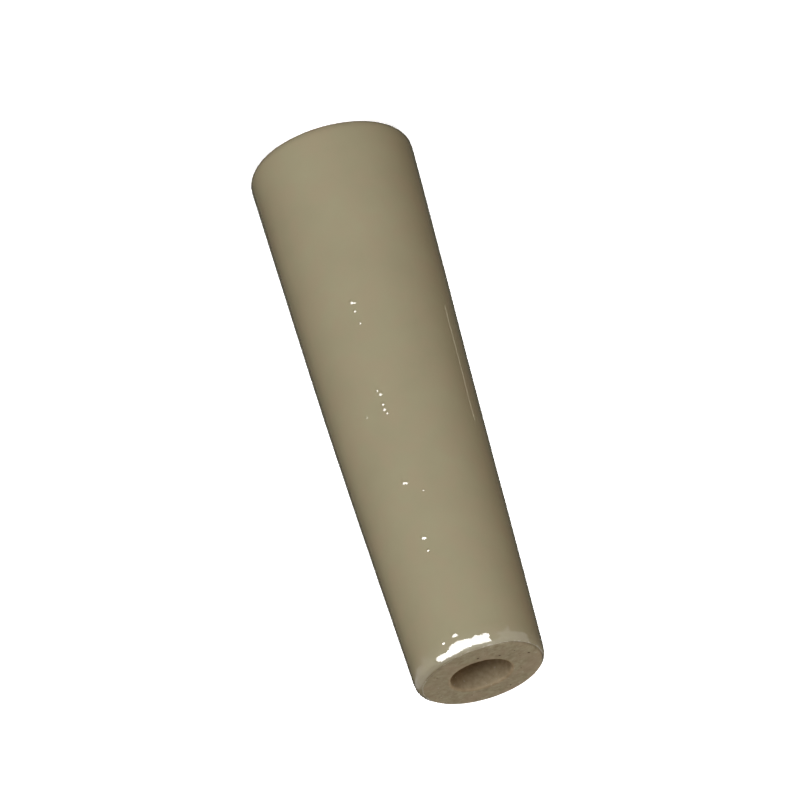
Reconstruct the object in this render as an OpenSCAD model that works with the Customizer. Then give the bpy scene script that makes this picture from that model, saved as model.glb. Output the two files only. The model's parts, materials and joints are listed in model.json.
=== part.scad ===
// Porcelain insulating sleeve: one turned and fired porcelain tube, tapered outside, with a
// straight hole from end to end. A glaze covers the outside and runs over both rounded corners.
// The two end faces and the hole stay dry, because the tube is carried on a spindle to be glazed.
// It stands on its wide end, with the hole along +Z and the origin at the centre of that face.

/* [Body] */
// Length from end face to end face
body_length = 168; // [120:1:240]
// Outside diameter at the wide end, where the side would meet the face
wide_diameter = 47.9; // [45:0.1:60]
// Outside diameter at the narrow end, where the side would meet the face
narrow_diameter = 37.5; // [34:0.1:44]
// How far the side stands out from a straight taper, half-way along
side_swell = 0.35; // [0:0.05:1]

/* [Corners] */
// Rounding radius between the side and the wide end's face
wide_corner = 4.1; // [1.5:0.1:6]
// Rounding radius between the side and the narrow end's face
narrow_corner = 2.2; // [1:0.1:3.5]

/* [Bore] */
// Diameter of the hole, which takes a 5/8 inch bolt
bore_diameter = 17.46; // [12:0.02:20]
// Rounding radius of the hole's two mouths
mouth_radius = 0.75; // [0.3:0.05:1.5]

/* [Glaze] */
// Thickness of the glaze on the side
glaze_thickness = 0.3; // [0.15:0.05:0.6]
// Degrees of each corner's turn that stay dry before the glaze begins
dry_turn = 28; // [10:1:45]

/* [Smoothness] */
// Segments in each part of a corner's rounding
corner_steps = 10; // [4:1:24]
// Segments along the side
side_steps = 24; // [8:1:48]
// Segments round the axis, where a preview needs them
$fn = 128; // [48:8:256]

/* [Hidden] */

bare_porcelain = "#a8937c";
olive_grey_glaze = "#9c957a";

bore_radius = bore_diameter / 2;
mouth_edge = bore_radius + mouth_radius;
taper = (wide_diameter - narrow_diameter) / 2 / body_length;

// Radius of the glazed side at height z: a straight taper with a shallow parabolic swell
function side_radius(z) =
    let (part = z / body_length)
    wide_diameter / 2 - taper * z + 4 * side_swell * part * (1 - part);

// Angle by which the side's normal tips towards +Z at height z
function side_tip(z) = atan(taper - 4 * side_swell / body_length * (1 - 2 * z / body_length));

// Points along an arc round centre, without its last point
function arc(centre, radius, from, to) =
    [for (i = [0 : corner_steps - 1])
        let (angle = from + (to - from) * i / corner_steps)
        centre + radius * [cos(angle), sin(angle)]];

// Centre of a corner's rounding that touches the side, at the height centre_z
function corner_centre(centre_z, radius) =
    let (tip = side_tip(centre_z))
    [side_radius(centre_z + radius * sin(tip)) - radius * cos(tip), centre_z];

wide_centre = corner_centre(wide_corner, wide_corner);
narrow_centre = corner_centre(body_length - narrow_corner, narrow_corner);
wide_tip = side_tip(wide_corner);
narrow_tip = side_tip(body_length - narrow_corner);
side_start = wide_corner * (1 + sin(wide_tip));
side_end = body_length - narrow_corner * (1 - sin(narrow_tip));

// The outline from one glaze line to the other, moved towards the axis by inset.
// The glaze lies between inset 0 and inset glaze_thickness, so it thins round the corners.
function glazed_outline(inset) =
    let (
        in = [-inset, 0],
        step = (side_end - side_start) / side_steps
    )
    concat(
        arc(wide_centre + in, wide_corner, dry_turn - 90, wide_tip),
        [for (i = [0 : side_steps - 1])
            let (z = side_start + step * i)
            [side_radius(z) - inset, z]],
        arc(narrow_centre + in, narrow_corner, narrow_tip, 90 - dry_turn),
        [narrow_centre + in + narrow_corner * [sin(dry_turn), cos(dry_turn)]]
    );

// The body's outline: dry corner, glazed side, dry corner, then the bore's mouths and wall
function body_outline() =
    let (
        in = [-glaze_thickness, 0],
        narrow_mouth = [mouth_edge, body_length - mouth_radius],
        wide_mouth = [mouth_edge, mouth_radius]
    )
    concat(
        arc(wide_centre + in, wide_corner, -90, dry_turn - 90),
        glazed_outline(glaze_thickness),
        [for (i = [1 : corner_steps])
            let (angle = dry_turn * (1 - i / corner_steps))
            narrow_centre + in + narrow_corner * [sin(angle), cos(angle)]],
        arc(narrow_mouth, mouth_radius, 90, 180),
        [[bore_radius, body_length - mouth_radius]],
        arc(wide_mouth, mouth_radius, 180, 270),
        [[mouth_edge, 0]]
    );

function backwards(points) = [for (i = [len(points) - 1 : -1 : 0]) points[i]];

// The fired porcelain tube, with its straight bore
module porcelain_body() {
    color(bare_porcelain)
        rotate_extrude()
            polygon(body_outline());
}

// The glassy skin, which meets the body face to face all over its inside
module glaze_coat() {
    color(olive_grey_glaze)
        rotate_extrude()
            polygon(concat(glazed_outline(0), backwards(glazed_outline(glaze_thickness))));
}

porcelain_body();
glaze_coat();
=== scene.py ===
"""A glazed porcelain insulating sleeve, standing on its wide end on a pale studio floor.

The porcelain is a dry, matt body of revolution round a straight bore. The glaze is a second
piece: a closed glassy skin over the outside, which ends in an uneven rolled edge at each end.
Both are built as rings of points along the CAD outline, and their points are then moved a
little for what the kiln and the hand leave: ripples, pips, pits, chips and a slight bow.
"""

import json
import math

import bpy
import numpy as np
from mathutils import Matrix, Vector, noise


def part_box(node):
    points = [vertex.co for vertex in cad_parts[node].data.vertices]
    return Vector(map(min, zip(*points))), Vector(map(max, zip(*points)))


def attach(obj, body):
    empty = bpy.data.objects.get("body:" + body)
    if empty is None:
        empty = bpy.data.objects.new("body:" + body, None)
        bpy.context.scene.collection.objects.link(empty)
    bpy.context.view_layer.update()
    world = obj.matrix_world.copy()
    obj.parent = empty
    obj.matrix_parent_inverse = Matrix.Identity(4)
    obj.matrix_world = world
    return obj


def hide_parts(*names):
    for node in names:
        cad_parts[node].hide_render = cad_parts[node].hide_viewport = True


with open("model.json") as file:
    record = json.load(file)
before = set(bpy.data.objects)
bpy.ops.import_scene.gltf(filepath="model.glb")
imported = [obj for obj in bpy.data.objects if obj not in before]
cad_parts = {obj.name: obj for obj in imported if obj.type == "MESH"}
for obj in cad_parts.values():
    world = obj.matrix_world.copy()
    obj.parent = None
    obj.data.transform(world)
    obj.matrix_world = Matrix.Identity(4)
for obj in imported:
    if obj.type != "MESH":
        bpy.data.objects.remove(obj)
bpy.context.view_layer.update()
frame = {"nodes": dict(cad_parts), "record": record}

MM = 0.001


# ------------------------------------------------------------ sizes, read from the CAD frame

def outer_outline(node, beyond):
    """Radius and height of a CAD node's outermost point at each of its levels."""
    mesh = frame["nodes"][node].data
    points = np.array([v.co for v in mesh.vertices], float)
    radius = np.hypot(points[:, 0], points[:, 1])
    radius, height = radius[radius > beyond], points[radius > beyond, 2]
    same_level = MM / 500
    levels = np.unique(height)
    levels = levels[np.diff(levels, prepend=-1) > same_level]
    outermost = [radius[abs(height - z) < same_level].max() for z in levels]
    return np.array(outermost), levels


MOUNTS = {mount["name"]: mount for mount in frame["record"]["mounts"]}
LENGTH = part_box("porcelain_body")[1].z
BORE = MOUNTS["bore"]["dims"]["r_mm"] * MM
MOUTH = (LENGTH - MOUNTS["bore"]["dims"]["length_mm"] * MM) / 2
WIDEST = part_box("glaze_coat")[1].x
MID_WALL = (BORE + WIDEST) / 2
BODY_R, BODY_Z = outer_outline("porcelain_body", MID_WALL)
GLAZE_R, GLAZE_Z = outer_outline("glaze_coat", MID_WALL)
GLAZE = np.interp(LENGTH / 2, GLAZE_Z, GLAZE_R) - np.interp(LENGTH / 2, BODY_Z, BODY_R)


# ------------------------------------------------------------------ the outline as one curve

# The outline is resampled this finely, and smoothed by a bell curve of this width.
FINE = 0.05 * MM
ROUNDING = 0.25 * MM
KERNEL_REACH = 4

# An end is this tall, and starts where the normal has turned this far towards the axis.
TURNED = 0.1
NARROW_CORNER = 4 * MM
WIDE_CORNER = 6 * MM


def smooth_outline():
    """The body's outline from mouth to mouth: distance along it, points and outward normals."""
    mouth_edge = BORE + MOUTH
    radius = np.concatenate([[mouth_edge], BODY_R, [mouth_edge]])
    height = np.concatenate([[0], BODY_Z, [LENGTH]])
    along = np.concatenate([[0], np.cumsum(np.hypot(np.diff(radius), np.diff(height)))])
    s = np.arange(0, along[-1], FINE)
    reach = int(KERNEL_REACH * ROUNDING / FINE)
    kernel = np.exp(-0.5 * (np.arange(-reach, reach + 1) * FINE / ROUNDING) ** 2)
    kernel /= kernel.sum()
    curve = []
    for values in (radius, height):
        line = np.interp(s, along, values)
        padded = np.pad(line, reach, mode="reflect", reflect_type="odd")
        curve.append(np.convolve(padded, kernel, mode="valid"))
    dr, dz = np.gradient(curve[0]), np.gradient(curve[1])
    steep = np.hypot(dr, dz)
    return s, curve[0], curve[1], dz / steep, -dr / steep


S, S_R, S_Z, S_NR, S_NZ = smooth_outline()


def at(s):
    """Radius, height and normal of the outline at distances s."""
    return [np.interp(s, S, values) for values in (S_R, S_Z, S_NR, S_NZ)]


def s_at_height(z):
    """Distance along the outline of a height on the side."""
    side = (S_Z > FINE) & (S_Z < LENGTH - FINE)
    return np.interp(z, S_Z[side], S[side])


def s_at_radius(r, narrow):
    """Distance along the outline of a radius on an end face or its rounded corner."""
    if narrow:
        part = (S_Z > LENGTH - NARROW_CORNER) & (S_NZ > TURNED)
        return np.interp(-np.asarray(r), -S_R[part], S[part])
    part = (S_Z < WIDE_CORNER) & (S_NZ < -TURNED)
    return np.interp(r, S_R[part], S[part])


def graded(start, end, step, spots=(), fine=None):
    """Values from start to end, a step apart, or a fine step inside any of the spots."""
    values = [start]
    while values[-1] < end:
        inside = any(low <= values[-1] <= high for low, high in spots)
        values.append(values[-1] + (fine if inside else step))
    values[-1] = end
    return np.array(values)


# --------------------------------------------------------------------- what the kiln left

# The tube bowed a little in the kiln: its middle stands this far towards +X.
BOW = 0.38 * MM

# Each end's glaze line: angle round the axis and radius in millimetres. Angle 0 faces -Y, 90 +X.
NARROW_LINE = [(-180, 17.3), (-135, 17.6), (-90, 18.0), (-40, 18.1), (0, 17.2),
               (45, 16.1), (90, 16.8), (135, 17.1), (180, 17.3)]
WIDE_LINE = [(-180, 21.2), (-90, 21.9), (0, 21.4), (90, 20.9), (180, 21.2)]

# Pips under the glaze: height in millimetres, angle, width in millimetres. Most lie on one line.
PIPS = [(37.8, 2, 1.4), (56.4, 12.8, 2.0), (56.9, 10.6, 1.5), (59.3, 12.2, 1.6), (63.4, 11, 1.4),
        (84.7, 12.9, 2.4), (85.9, 11.6, 2.0), (89.2, 12.1, 1.6), (90.7, 12, 1.9), (92.2, 10.9, 1.3),
        (90.8, 27.8, 1.4), (113.7, 14.6, 1.8), (114.1, 12.6, 1.5), (117.9, 1.5, 1.2),
        (131.3, 13.2, 1.9), (131.6, 11.3, 1.4), (135.5, 12.2, 1.3), (161.4, 13, 2.2),
        (161.6, 10.5, 2.0), (163, 24, 1.2)]

# Slope of a pip's side at its steepest.
PIP_STEEP = 0.42

# The mesh is finer in these spans of height and angle, where the pips are.
PIP_HEIGHTS = [(37.1, 38.5), (55.4, 64.1), (83.5, 92.9), (112.8, 114.9), (117.3, 118.5),
               (130.3, 136.2)]
PIP_ANGLES = [(0, 4), (8, 17), (22, 30)]

# Pits in the narrow end face: angle, then radius and width in millimetres. Their depth is too.
PITS = [(-2, 11.4, 0.9), (-35, 11.2, 0.8), (-69, 15.4, 0.9), (-48, 14.4, 0.5), (-66, 13.0, 0.4),
        (62, 13.6, 0.5), (118, 14.8, 0.6), (160, 12.1, 0.5), (-150, 14.2, 0.6), (-105, 11.6, 0.5)]
PIT_DEPTH = 0.3


def ripple(points, size, seed):
    """Smooth noise between -1 and 1 at each point, with features of about that size."""
    offset = Vector((seed * 17.3, seed * 5.1, seed * 9.7))
    return np.array([noise.noise(Vector(p) / size + offset) for p in points])


def wander(angles, wave, seed):
    """Smooth noise round the ring, for edges: wave is in radians."""
    ring = np.stack([np.cos(angles), np.sin(angles), np.zeros(len(angles))], 1)
    return ripple(ring, wave, seed)


def bowed(points):
    """The points with the kiln's bow, which dies away at both ends."""
    points[..., 0] += BOW * np.sin(np.pi * np.clip(points[..., 2] / LENGTH, 0, 1)) ** 2
    return points


def spun(radius, height, angles):
    """Points at each radius and height (rows) and each angle (columns)."""
    return np.stack(np.broadcast_arrays(radius * np.sin(angles), -radius * np.cos(angles), height), -1)


def new_object(name, data):
    """An object in the scene that holds a mesh, a light or a camera."""
    obj = bpy.data.objects.new(name, data)
    bpy.context.scene.collection.objects.link(obj)
    return obj


def grid_mesh(name, grid, closed):
    """A mesh from a grid of points, columns round the axis. Closed joins the last row to the first."""
    rows, columns = grid.shape[:2]
    index = np.arange(rows * columns).reshape(rows, columns)
    lower = index if closed else index[:-1]
    upper = np.roll(index, -1, 0) if closed else index[1:]
    faces = np.stack([lower, np.roll(lower, -1, 1), np.roll(upper, -1, 1), upper], -1).reshape(-1, 4)
    mesh = bpy.data.meshes.new(name)
    mesh.from_pydata(grid.reshape(-1, 3).tolist(), [], faces.tolist())
    mesh.polygons.foreach_set("use_smooth", [True] * len(faces))
    mesh.update()
    return mesh


def point_values(obj, name, values):
    """Stores one number per vertex, which a material reads by name."""
    layer = obj.data.attributes.new(name, "FLOAT", "POINT")
    layer.data.foreach_set("value", np.asarray(values, np.float32).ravel())


# --------------------------------------------------------------------------- the glaze coat

# The glaze is at least this thick, rounds off over this width at its edge, and its inner side
# is sunk this deep in the porcelain.
BEAD = 0.05 * MM
BEAD_WIDTH = 0.45 * MM
SUNK = 0.04 * MM

# How the glaze line wanders: height of a wave and its length in radians. Chips bite into it.
LINE_WAVES = [(0.14 * MM, 0.16), (0.12 * MM, 0.05)]
CHIP_DEPTH = 0.5 * MM
CHIP_LENGTH = 0.09
CHIP_LEVEL = 0.3

# The rows of the mesh follow the wandering line this far in from it.
LINE_REACH = 3 * MM

# Mesh steps of the glaze: coarse, and fine at the pips and edges. Its inner side has few rows.
TURN_STEP = math.radians(1.35)
TURN_FINE = math.radians(0.5)
ROW_STEP = 1.2 * MM
ROW_FINE = 0.22 * MM
FINE_AT_NARROW = 5 * MM
FINE_AT_WIDE = 3 * MM
INNER_ROWS = 22

# Height of the glaze's waves in millimetres, and their length. The last are near the narrow end.
BROAD_WAVES = (0.03, 14 * MM)
SHORT_WAVES = (0.008, 4 * MM)
RIM_WAVES = (0.014, 2.4 * MM)
NARROW_REACH = 6 * MM

# Before the narrow end's rounding the side already draws in by this much, over this length, up
# to this height.
DRAWN_IN = 0.2 * MM
DRAW_LENGTH = 3 * MM
DRAW_END = LENGTH - 1 * MM


def glaze_line(table, narrow, angles, seed):
    """Distance along the outline where the glaze ends, at each angle."""
    places, radii = zip(*table)
    radius = np.interp(np.degrees(angles), places, np.array(radii) * MM)
    s = s_at_radius(radius, narrow)
    for i, (depth, wave) in enumerate(LINE_WAVES):
        s = s + depth * wander(angles, wave, seed + i)
    chips = np.clip(wander(angles, CHIP_LENGTH, seed + 2) - CHIP_LEVEL, 0, 1) * CHIP_DEPTH
    return s - chips if narrow else s + chips


def make_glaze():
    """The glassy skin: outside from glaze line to glaze line, and back along the porcelain."""
    near_pips = [(math.radians(low), math.radians(high)) for low, high in PIP_ANGLES]
    angles = graded(-math.pi, math.pi, TURN_STEP, near_pips, TURN_FINE)[:-1]
    first = glaze_line(WIDE_LINE, False, angles, seed=3)
    last = glaze_line(NARROW_LINE, True, angles, seed=5)
    spots = [(s_at_height(low * MM), s_at_height(high * MM)) for low, high in PIP_HEIGHTS]
    spots.append((last.min() - FINE_AT_NARROW, last.max()))
    spots.append((0, first.max() + FINE_AT_WIDE))
    start, end = first.mean(), last.mean()
    s_rows = graded(start, end, ROW_STEP, spots, ROW_FINE)
    ease_in = np.clip(1 - (s_rows - start) / LINE_REACH, 0, 1) ** 2
    ease_out = np.clip(1 - (end - s_rows) / LINE_REACH, 0, 1) ** 2
    s = s_rows[:, None] + ease_in[:, None] * (first - start) + ease_out[:, None] * (last - end)
    radius, height, nr, nz = at(s)
    full = np.interp(height, GLAZE_Z, GLAZE_R) - np.interp(height, BODY_Z, BODY_R)
    full = np.maximum(full * nr, BEAD)
    edge = np.minimum(s - first, last - s)
    lip = np.sqrt(np.clip(1 - (1 - np.clip(edge / BEAD_WIDTH, 0, 1)) ** 2, 0, 1))
    thick = full * lip - SUNK * (1 - lip)
    bare = bowed(spun(radius, height, angles))
    flat = bare.reshape(-1, 3)
    broad = BROAD_WAVES[0] * (ripple(flat, BROAD_WAVES[1], seed=11) - 1)
    short = SHORT_WAVES[0] * ripple(flat, SHORT_WAVES[1], seed=12)
    waves = (broad + short).reshape(thick.shape)
    near_end = np.clip((height - LENGTH) / NARROW_REACH + 1, 0, 1)
    rim_ripple = ripple(flat, RIM_WAVES[1], seed=13).reshape(thick.shape)
    waves += RIM_WAVES[0] * near_end * (rim_ripple - 0.5)
    drawn = np.clip((height - DRAW_END) / DRAW_LENGTH + 1, 0, 1)
    thick += (waves * MM - DRAWN_IN * drawn * drawn * (3 - 2 * drawn)) * lip
    for z, angle, width in PIPS:
        across = (angles - math.radians(angle)) * radius
        along = height - z * MM
        reach = np.hypot(across, along) / (width * MM / 2)
        rise = PIP_STEEP * width * MM / math.pi
        thick += rise * np.where(reach < 1, (1 + np.cos(np.pi * reach)) / 2, 0)
    outside = spun(radius + nr * thick, np.clip(height + nz * thick, 0, LENGTH), angles)
    inner_rows = np.linspace(0, 1, INNER_ROWS + 2)[1:-1][::-1]
    s_in = first + inner_rows[:, None] * (last - first)
    radius, height, nr, nz = at(s_in)
    inside = spun(radius - nr * SUNK, height - nz * SUNK, angles)
    skin = bowed(np.concatenate([outside, inside]))
    obj = new_object("glaze_skin", grid_mesh("glaze_skin", skin, closed=True))
    point_values(obj, "edge", np.concatenate([edge / MM, np.ones(s_in.shape)]))
    point_values(obj, "rim", np.concatenate([near_end, np.zeros(s_in.shape)]))
    return obj


# ------------------------------------------------------------------------ the porcelain body

# Mesh steps of the porcelain: round the axis, along the side, on the ends and in the bore, where
# they are fine as far as the eye sees in.
BODY_TURNS = 320
BODY_STEP = 4 * MM
BODY_FINE = 0.27 * MM
FINE_ON_NARROW = 11 * MM
BORE_STEP = 5 * MM
BORE_FINE = 0.5 * MM
BORE_IN_VIEW = 14 * MM
MOUTH_ROWS = 6

# Height of the clay's lumps in millimetres, and their length. They never stand past the outline.
LUMPS = [(0.025, 3 * MM), (0.02, 0.9 * MM)]
LUMPS_TALLEST = 0.045

# The bore's colour runs out over its rounded mouth and fades, in times the mouth's radius.
TINT_END = 1.4
TINT_FADE = 0.8


def make_body():
    """The dry porcelain: end faces, bore and the side under the glaze, in one closed skin."""
    angles = np.linspace(-math.pi, math.pi, BODY_TURNS + 1)[:-1]
    narrow_start = s_at_radius(BORE + MOUTH, True) - FINE_ON_NARROW
    ends = [(S[0], s_at_radius(WIDEST, False)), (narrow_start, S[-1])]
    s = graded(S[0], S[-1], BODY_STEP, ends, BODY_FINE)
    radius, height, nr, nz = at(s)
    turn = np.linspace(0, math.pi / 2, MOUTH_ROWS + 1)[1:]
    top = (BORE + MOUTH - MOUTH * np.sin(turn), LENGTH - MOUTH * (1 - np.cos(turn)))
    bore_z = graded(0, LENGTH / 2 - MOUTH, BORE_STEP, [(0, BORE_IN_VIEW)], BORE_FINE)[1:]
    down = LENGTH - MOUTH - bore_z
    bore = np.concatenate([down, (LENGTH - down[:-1])[::-1]])
    radius = np.concatenate([radius, top[0], np.full(len(bore), BORE), top[0][::-1]])
    height = np.concatenate([height, top[1], bore, LENGTH - top[1][::-1]])
    nr = np.concatenate([nr, -np.sin(turn), np.full(len(bore), -1.0), -np.sin(turn)[::-1]])
    nz = np.concatenate([nz, np.cos(turn), np.zeros(len(bore)), -np.cos(turn)[::-1]])
    points = spun(radius[:, None], height[:, None], angles)
    flat = points.reshape(-1, 3)
    lumps = [tall * ripple(flat, size, seed=21 + i) for i, (tall, size) in enumerate(LUMPS)]
    rough = sum(lumps).reshape(points.shape[:2])
    dent = (rough - LUMPS_TALLEST) * MM - BEAD * np.clip(nz, 0, 1)[:, None]
    pitted = np.zeros(points.shape[:2])
    for angle, r, width in PITS:
        spot = np.array([r * math.sin(math.radians(angle)), -r * math.cos(math.radians(angle))]) * MM
        reach = np.hypot(points[..., 0] - spot[0], points[..., 1] - spot[1]) / (width * MM / 2)
        here = (reach < 1) & (height > LENGTH - MM)[:, None]
        pitted = np.maximum(pitted, np.where(here, 1 - reach * reach, 0))
    dent -= PIT_DEPTH * MM * pitted
    points = spun(radius[:, None] + nr[:, None] * dent, height[:, None] + nz[:, None] * dent, angles)
    obj = new_object("porcelain", grid_mesh("porcelain", bowed(points), closed=True))
    inside = np.clip((BORE + TINT_END * MOUTH - radius) / (TINT_FADE * MOUTH), 0, 1)
    point_values(obj, "bore", np.broadcast_to(inside[:, None], points.shape[:2]))
    # The pit mask also sets where painted shade darkens the pits.
    point_values(obj, "pit", pitted)
    return obj


# --------------------------------------------------------------------------------- materials

def new_material(name):
    """A material, a helper that adds and links its nodes, its main shader and its node tree."""
    material = bpy.data.materials.new(name)
    material.use_nodes = True
    tree = material.node_tree

    def add(kind, inputs=None, **settings):
        node = tree.nodes.new(kind)
        for key, value in settings.items():
            setattr(node, key, value)
        for key, value in (inputs or {}).items():
            if isinstance(value, bpy.types.NodeSocket):
                tree.links.new(value, node.inputs[key])
            else:
                node.inputs[key].default_value = value
        return node

    return material, add, tree.nodes["Principled BSDF"], tree


def noise_of(add, scale, detail=3.0):
    """A noise texture in the object's own metres: scale is features per metre."""
    where = add("ShaderNodeTexCoord").outputs["Object"]
    return add("ShaderNodeTexNoise", {"Vector": where, "Scale": scale, "Detail": detail}).outputs["Fac"]


def ramp_of(add, factor, stops):
    """A colour ramp through (position, colour) stops."""
    node = add("ShaderNodeValToRGB", {"Fac": factor})
    elements = node.color_ramp.elements
    while len(elements) < len(stops):
        elements.new(0.5)
    for element, (position, colour) in zip(elements, stops):
        element.position = position
        element.color = (*colour, 1)
    return node.outputs["Color"]


def range_of(add, value, low, high, start=0.0, end=1.0):
    """A value that is mapped, and held, from start..end to low..high."""
    inputs = {"Value": value, "From Min": start, "From Max": end, "To Min": low, "To Max": high}
    return add("ShaderNodeMapRange", inputs).outputs["Result"]


# The Mix node's colour sockets have the same names as its others, so they go by number.
MIX_FIRST, MIX_SECOND, MIX_RESULT = 6, 7, 2


def blend(add, factor, first, second):
    """A mix of two colours, each a tuple or a link."""
    node = add("ShaderNodeMix", {"Factor": factor}, data_type="RGBA")
    for slot, value in ((MIX_FIRST, first), (MIX_SECOND, second)):
        if isinstance(value, tuple):
            node.inputs[slot].default_value = (*value, 1)
        else:
            node.id_data.links.new(value, node.inputs[slot])
    return node.outputs[MIX_RESULT]


def product(add, first, second):
    """Two values multiplied."""
    node = add("ShaderNodeMath", operation="MULTIPLY")
    node.id_data.links.new(first, node.inputs[0])
    node.id_data.links.new(second, node.inputs[1])
    return node.outputs["Value"]


def glaze_material():
    """Olive-grey glaze with faint brown clouds, flecked at its edges, and paler towards the narrow end as
    a painted sheen.
    """
    material, add, shader, tree = new_material("glaze")
    olives = [(0.3, (0.322, 0.285, 0.182)), (0.7, (0.345, 0.310, 0.198))]
    olive = ramp_of(add, noise_of(add, 60, 4), olives)
    brown = range_of(add, noise_of(add, 150, 3), 0, 0.6, 0.42, 0.64)
    clouded = blend(add, brown, olive, (0.352, 0.290, 0.190))
    edge = add("ShaderNodeAttribute", attribute_name="edge").outputs["Fac"]
    near_edge = range_of(add, edge, 1, 0, 0.25, 0.6)
    rim = add("ShaderNodeAttribute", attribute_name="rim").outputs["Fac"]
    # Paler towards the narrow end: a painted sheen that stands in for the light the glaze mirrors there.
    rim_sheen = blend(add, range_of(add, rim, 0, 0.8), clouded, (0.385, 0.350, 0.245))
    flecks = range_of(add, noise_of(add, 900, 2), 0, 1, 0.5, 0.62)
    # Pale flecks of wear at the glaze's edges go over the clouds and the painted sheen.
    wear_and_sheen = blend(add, product(add, near_edge, flecks), rim_sheen, (0.52, 0.48, 0.38))
    tree.links.new(wear_and_sheen, shader.inputs["Base Color"])
    tree.links.new(range_of(add, edge, 0.45, 0.045, 0.1, 0.35), shader.inputs["Roughness"])
    shader.inputs["IOR"].default_value = 1.65
    grazing = add("ShaderNodeLayerWeight").outputs["Facing"]
    tree.links.new(range_of(add, grazing, 0, 1, 0.5, 0.95), shader.inputs["Coat Weight"])
    shader.inputs["Coat IOR"].default_value = 2.0
    uneven = product(add, noise_of(add, 480, 1.5), rim)
    wavy = add("ShaderNodeBump", {"Height": uneven, "Distance": 0.0002, "Strength": 1.0})
    dimples = {"Height": noise_of(add, 900, 2), "Distance": 0.00002, "Strength": 0.12}
    peel = add("ShaderNodeBump", {**dimples, "Normal": wavy.outputs["Normal"]})
    tree.links.new(peel.outputs["Normal"], shader.inputs["Normal"])
    return material


def porcelain_material():
    """Bare fired clay: mottled grey with redder patches, browner in the bore, with painted shade that
    darkens the pits.
    """
    material, add, shader, tree = new_material("bare_porcelain")
    cloud = noise_of(add, 700, 6)
    grey = ramp_of(add, cloud, [(0.3, (0.252, 0.214, 0.136)), (0.7, (0.374, 0.334, 0.224))])
    reddish = range_of(add, noise_of(add, 160, 2), 0, 0.5, 0.44, 0.64)
    face = blend(add, reddish, grey, (0.350, 0.275, 0.190))
    bore = ramp_of(add, cloud, [(0.3, (0.305, 0.238, 0.146)), (0.7, (0.405, 0.320, 0.206))])
    inside = add("ShaderNodeAttribute", attribute_name="bore").outputs["Fac"]
    clay = blend(add, inside, face, bore)
    pale = range_of(add, noise_of(add, 1100, 1), 0, 0.6, 0.70, 0.76)
    specked = blend(add, pale, clay, (0.48, 0.43, 0.33))
    # The pits are darkened almost to black: painted shade in their hollows.
    pit = add("ShaderNodeAttribute", attribute_name="pit").outputs["Fac"]
    pitted = blend(add, range_of(add, pit, 0, 0.85, 0.1, 0.5), specked, (0.055, 0.03, 0.022))
    tree.links.new(pitted, shader.inputs["Base Color"])
    tree.links.new(range_of(add, noise_of(add, 700), 0.65, 0.85), shader.inputs["Roughness"])
    shader.inputs["Specular IOR Level"].default_value = 0.03
    grit = {"Height": noise_of(add, 2200, 4), "Distance": 0.00015, "Strength": 0.5}
    grain = add("ShaderNodeBump", grit)
    tree.links.new(grain.outputs["Normal"], shader.inputs["Normal"])
    return material


# ------------------------------------------------------------------------ stage and lighting

def stage_piece(name, mesh, colour, glow, tint=(1, 1, 1), seen=True):
    """A stage piece that doesn't light the object. It's either seen, or only shows in the gloss."""
    obj = new_object(name, mesh)
    material, _, shader, _ = new_material(name)
    shader.inputs["Base Color"].default_value = (*colour, 1)
    shader.inputs["Roughness"].default_value = 1.0
    shader.inputs["Specular IOR Level"].default_value = 0.0
    shader.inputs["Emission Color"].default_value = (*tint, 1)
    shader.inputs["Emission Strength"].default_value = glow
    obj.data.materials.append(material)
    obj.visible_diffuse = False
    obj.visible_camera = seen
    obj.visible_glossy = not seen
    obj.visible_shadow = False


FLOOR_RADIUS = 12.0
FLOOR_WHITE = (0.9, 0.9, 0.9)
FLOOR_GLOW = 0.75
BLACK = (0, 0, 0)

# The white backdrop and the room that the glaze mirrors are domes that go on under the floor.
DOME_RADIUS = 1.5 * FLOOR_RADIUS
DOME_GAP = 0.01
DOME_ROWS = 48
DISC_TURNS = 96

# What the glaze mirrors where there is no panel: a dim room, a little green.
ROOM_GLOW = 0.045
ROOM_TINT = (0.85, 1, 0.95)


def sky_outline():
    """Radius and height up a dome that is open only at a small hole over and under the floor."""
    turn = np.linspace(DOME_GAP - math.pi / 2, math.pi / 2 - DOME_GAP, DOME_ROWS)
    return [(DOME_RADIUS * math.cos(t), DOME_RADIUS * math.sin(t)) for t in turn]


def disc_mesh(name, outline):
    """A mesh spun from an outline of radius and height."""
    radius, height = np.array(outline, float).T[..., None]
    angles = np.linspace(0, 2 * math.pi, DISC_TURNS + 1)[:-1]
    return grid_mesh(name, spun(radius, height, angles), closed=False)


# A black sleeve over the narrow end keeps the windows out of the far rim's gloss.
FENCE_RADIUS = 16.8 * MM
FENCE = [(FENCE_RADIUS, LENGTH + 0.1 * MM), (FENCE_RADIUS, 3 * LENGTH)]

# Flags stand beside the narrow end, so that from behind its edges mirror less of the windows.
# Each is as dim as the room below its split, and glows a little above: name, azimuth, glow.
FLAGS = [("flag_right", -36, 0.7), ("flag_left", 52, 0.35)]
FLAG_GAP = 0.15 * MM
FLAG_REACH = 27 * MM
FLAG_LOW = LENGTH - 24 * MM
FLAG_SPLIT = LENGTH - 5.5 * MM
FLAG_HIGH = LENGTH + 10 * MM
FLAG_ROWS = 25

CENTRE = Vector((0, 0, LENGTH / 2))


def direction(azimuth, elevation):
    """Unit vector from the object. Azimuth 0 is towards the main camera's side, -Y, and 90 is +X."""
    a, e = math.radians(azimuth), math.radians(elevation)
    return Vector((math.sin(a) * math.cos(e), -math.cos(a) * math.cos(e), math.sin(e)))


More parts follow.
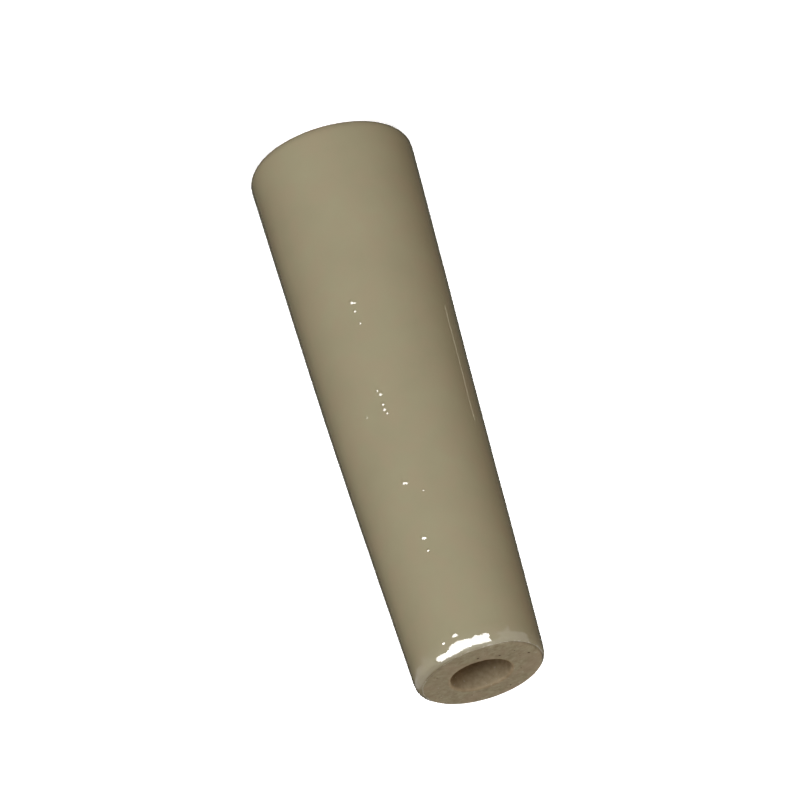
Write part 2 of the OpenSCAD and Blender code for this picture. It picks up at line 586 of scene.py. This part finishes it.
def flag_mesh(name, azimuth, low, high):
    """An upright card that runs outward from just off the glaze."""
    heights = np.linspace(low, high, FLAG_ROWS)
    inner = np.interp(heights, GLAZE_Z, GLAZE_R) + FLAG_GAP
    outward = direction(azimuth, 0)
    points = [outward * r + Vector((0, 0, z)) for r, z in zip(inner, heights)]
    points += [outward * FLAG_REACH + Vector((0, 0, z)) for z in heights]
    count = len(heights)
    faces = [(i, i + 1, count + i + 1, count + i) for i in range(count - 1)]
    mesh = bpy.data.meshes.new(name)
    mesh.from_pydata(points, [], faces)
    return mesh


def panel(name, azimuth, elevation, distance, size, radiance,
          colour=(1, 1, 1), sees="gloss", around=CENTRE):
    """A soft panel that faces a point. It only lights, or only shows in the gloss."""
    data = bpy.data.lights.new(name, "AREA")
    data.shape = "RECTANGLE"
    data.size, data.size_y = size
    data.energy = radiance * math.pi * size[0] * size[1]
    data.color = colour
    obj = new_object(name, data)
    towards = direction(azimuth, elevation)
    obj.location = around + towards * distance
    obj.rotation_euler = towards.to_track_quat("Z", "Y").to_euler()
    obj.visible_camera = False
    obj.visible_diffuse = sees == "light"
    obj.visible_glossy = sees == "gloss"
    return obj


DAYLIGHT = (0.84, 0.93, 1)
WARM_ROOM = (1, 0.78, 0.59, 1)
WARM_ROOM_STRENGTH = 0.347
LAMP = (1, 0.92, 0.7)
LAMP_SPREAD = math.radians(14)
WINDOW_GLOW = 13

# The windows stand near a point at the narrow end's front, and the tube near one on the -X flank.
FRONT = Vector((2 * MM, -17 * MM, LENGTH - 1.5 * MM))
FLANK = Vector((-20, -10, 78)) * MM


def light_the_set():
    """Warm light from all round, two soft keys, and the windows and cards that the glaze mirrors."""
    world = bpy.data.worlds.new("even_light")
    bpy.context.scene.world = world
    world.use_nodes = True
    background = world.node_tree.nodes["Background"]
    background.inputs["Color"].default_value = WARM_ROOM
    background.inputs["Strength"].default_value = WARM_ROOM_STRENGTH
    world.cycles_visibility.glossy = False
    panel("key", 10, 10, 1.6, (1.2, 0.9), 7.1, DAYLIGHT, sees="light")
    panel("back_key", 200, 20, 1.6, (1.2, 0.9), 6.0, DAYLIGHT, sees="light")
    panel("window_right", -15, 8, 0.06, (0.046, 0.057), WINDOW_GLOW, around=FRONT)
    panel("window_middle", 22, 15, 0.06, (0.049, 0.076), WINDOW_GLOW, around=FRONT)
    panel("window_left", 54, 27, 0.06, (0.047, 0.079), WINDOW_GLOW, around=FRONT)
    panel("window_high", 24, 15, 1.2, (1.0, 0.72), WINDOW_GLOW)
    panel("card_left", 122, 18, 1.2, (1.28, 1.56), 0.5)
    panel("card_right", -75, 12, 1.2, (1.39, 1.22), 0.7)
    panel("ceiling", 10, 75, 1.2, (2.4, 1.6), 1.0)
    panel("back_strip", 180, 0, 1.2, (0.25, 2.6), 5)
    tube = panel("tube", -124.5, -24, 0.11, (0.0022, 0.034), 0.0085, LAMP, around=FLANK)
    tube.data.spread = LAMP_SPREAD


# ------------------------------------------------------------------------------------ camera

SENSOR = 36.0
LENS = 429.75
VIEW_ELEVATION = 25.63
VIEW_ROLL = 180 - 16.46
VIEW_LENGTHS_AWAY = 16
AIM_RIGHT = 1.149 * MM
AIM_DOWN = 3.838 * MM
CLIP_END = 100.0


def make_camera():
    """A long lens from above the narrow end's side, rolled so that the narrow end points down."""
    data = bpy.data.cameras.new("camera")
    data.lens, data.sensor_width = LENS, SENSOR
    camera = new_object("camera", data)
    back = direction(0, VIEW_ELEVATION)
    level = back.to_track_quat("Z", "Y").to_matrix()
    turned = level @ Matrix.Rotation(math.radians(VIEW_ROLL), 3, "Z")
    right, up = turned.col[0], turned.col[1]
    stand = CENTRE - AIM_RIGHT * right + AIM_DOWN * up + VIEW_LENGTHS_AWAY * LENGTH * back
    camera.matrix_world = Matrix.Translation(stand) @ turned.to_4x4()
    data.clip_end = CLIP_END
    bpy.context.scene.camera = camera


def place(obj, node, material):
    """The piece stands for a CAD node, rides on the root and takes its slot's finish."""
    obj.data.materials.append(material)
    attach(obj, "root")
    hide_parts(node)


make_camera()
light_the_set()
stage_piece("floor", disc_mesh("floor", [(0, 0), (FLOOR_RADIUS, 0)]), FLOOR_WHITE, FLOOR_GLOW)
stage_piece("backdrop", disc_mesh("backdrop", sky_outline()), BLACK, 1.0)
stage_piece("dim_room", disc_mesh("dim_room", sky_outline()), BLACK, ROOM_GLOW, ROOM_TINT, seen=False)
stage_piece("fence", disc_mesh("fence", FENCE), BLACK, 0.0, seen=False)
for flag, azimuth, glow in FLAGS:
    lower = flag_mesh(flag + "_lower", azimuth, FLAG_LOW, FLAG_SPLIT)
    upper = flag_mesh(flag + "_upper", azimuth, FLAG_SPLIT, FLAG_HIGH)
    stage_piece(flag + "_lower", lower, BLACK, ROOM_GLOW, ROOM_TINT, seen=False)
    stage_piece(flag + "_upper", upper, BLACK, glow, seen=False)
bpy.context.scene.view_settings.view_transform = "Standard"

place(make_body(), "porcelain_body", porcelain_material())
place(make_glaze(), "glaze_coat", glaze_material())
